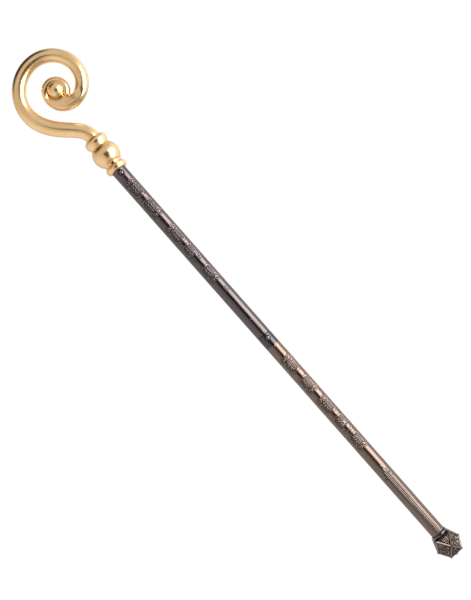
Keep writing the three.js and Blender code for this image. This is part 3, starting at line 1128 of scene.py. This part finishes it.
def sheet_object(name, middle, width, height, base, glow):
    """A level sheet about a middle point, of one dull colour with some light of its own."""
    x, y, z = middle
    signs = ((-1, -1), (1, -1), (1, 1), (-1, 1))
    mesh = bpy.data.meshes.new(name)
    mesh.from_pydata([(x + s * width / 2, y + t * height / 2, z) for s, t in signs], [], [(0, 1, 2, 3)])
    made = bpy.data.objects.new(name, mesh)
    bpy.context.scene.collection.objects.link(made)
    shader = Shader(bpy.data.materials.new(name))
    shader.set("Base Color", (base, base, base))
    shader.set("Roughness", 1.0)
    shader.set("Specular IOR Level", 0.0)
    shader.set("Emission Color", (1.0, 1.0, 1.0))
    shader.set("Emission Strength", glow)
    mesh.materials.append(shader.material)
    return made


def soft_box(name, middle, target, size, radiance):
    """A rectangular light that faces a target. Its power is pi times its area times its radiance."""
    light = bpy.data.lights.new(name, "AREA")
    light.shape = "RECTANGLE"
    light.size, light.size_y = size
    light.energy = radiance * math.pi * size[0] * size[1]
    made = bpy.data.objects.new(name, light)
    bpy.context.scene.collection.objects.link(made)
    away = Vector(middle) - Vector(target)
    made.location = middle
    made.rotation_euler = away.to_track_quat("Z", "Y").to_euler()
    made.visible_camera = False
    made.visible_diffuse = False
    return made


def studio_direction(bearing, zenith):
    """A direction given by its bearing round the line of sight and its angle from straight up."""
    roll = bpy.context.scene.crosier_stage.roll
    b, z = math.radians(bearing) + roll, math.radians(zenith)
    return (math.sin(z) * math.cos(b), math.sin(z) * math.sin(b), math.cos(z))


def studio_world():
    """Even light all round, with the studio's soft broad patches laid over it."""
    world = bpy.data.worlds.new("studio")
    bpy.context.scene.world = world
    shader = Shader(world, "ShaderNodeBackground", "ShaderNodeOutputWorld")
    where = shader.add("ShaderNodeTexCoord", output=0)
    level = STUDIO_LEVEL
    for patch_level, bearing, zenith, inner, outer in STUDIO_PATCHES:
        towards = studio_direction(bearing, zenith)
        inputs = {0: where, 1: towards}
        cosine = shader.add("ShaderNodeVectorMath", {"operation": "DOT_PRODUCT"}, inputs, output=1)
        share_of = cosine.smoothly(math.cos(math.radians(outer)), math.cos(math.radians(inner)))
        level = share_of * (patch_level - level) + level
    seen = shader.add("ShaderNodeLightPath", output=0)
    level = seen * (1.0 - level) + level
    shader.set("Strength", level)


STUDIO_LEVEL = 0.85

# Patches of the studio's light: level, bearing, zenith angle, inner and outer radius in degrees.
STUDIO_PATCHES = [
    (1.15, 240, 85, 15, 60),
    (1.5, 35, 110, 15, 50),
    (0.45, -50, 85, 15, 45),
    (0.02, 138, 92, 22, 42),
]


class CROSIER_OT_stage(bpy.types.Operator):
    """Make the pale floor, the soft lights and the camera"""
    bl_idname = "crosier.stage"
    bl_label = "Stage"

    def execute(self, context):
        scene = context.scene
        stage = scene.crosier_stage
        scene.view_settings.view_transform = "Standard"
        camera = bpy.data.objects.new("camera", bpy.data.cameras.new("camera"))
        scene.collection.objects.link(camera)
        scene.camera = camera
        camera.data.lens = stage.lens
        camera.data.sensor_width = 36.0
        camera.location = STAFF_ORIGIN + [stage.aim_along, stage.aim_across, stage.distance]
        camera.rotation_euler = (0, 0, stage.roll)
        floor = sheet_object("floor", (0, 0, 0), 16.0, 16.0, 0.25, 0.9)
        floor.visible_glossy = False
        dark = sheet_object("dark_ceiling", (0.25, 0.45, 2.7), 2.5, 2.2, 0.01, 0.0)
        dark.visible_camera = False
        dark.visible_diffuse = False
        dark.visible_shadow = False
        soft_box("side_box", [0.15, 0.95, 0.72], [0, 0, 0.03], (1.7, 1.0), stage.box)
        studio_world()
        return {"FINISHED"}


class CROSIER_PT_panel(bpy.types.Panel):
    bl_label = "Crosier"
    bl_idname = "CROSIER_PT_panel"
    bl_space_type = "VIEW_3D"
    bl_region_type = "UI"
    bl_category = "Crosier"

    def draw(self, context):
        for operator in OPERATORS:
            self.layout.operator(operator.bl_idname)


SETTINGS = {
    "crosier_crook": CrookSettings,
    "crosier_knop": KnopSettings,
    "crosier_staff": StaffSettings,
    "crosier_foot": FootSettings,
    "crosier_finish": FinishSettings,
    "crosier_stage": StageSettings,
}
OPERATORS = (
    CROSIER_OT_crook,
    CROSIER_OT_knop,
    CROSIER_OT_staff,
    CROSIER_OT_studs,
    CROSIER_OT_collar,
    CROSIER_OT_foot,
    CROSIER_OT_stage,
)


def register():
    for name, group in SETTINGS.items():
        bpy.utils.register_class(group)
        setattr(bpy.types.Scene, name, PointerProperty(type=group))
    for item in (*OPERATORS, CROSIER_PT_panel):
        bpy.utils.register_class(item)


def unregister():
    for item in (CROSIER_PT_panel, *reversed(OPERATORS)):
        bpy.utils.unregister_class(item)
    for name, group in SETTINGS.items():
        delattr(bpy.types.Scene, name)
        bpy.utils.unregister_class(group)


def main():
    register()
    for operator in OPERATORS:
        group, name = operator.bl_idname.split(".")
        getattr(getattr(bpy.ops, group), name)()


if __name__ == "__main__":
    main()
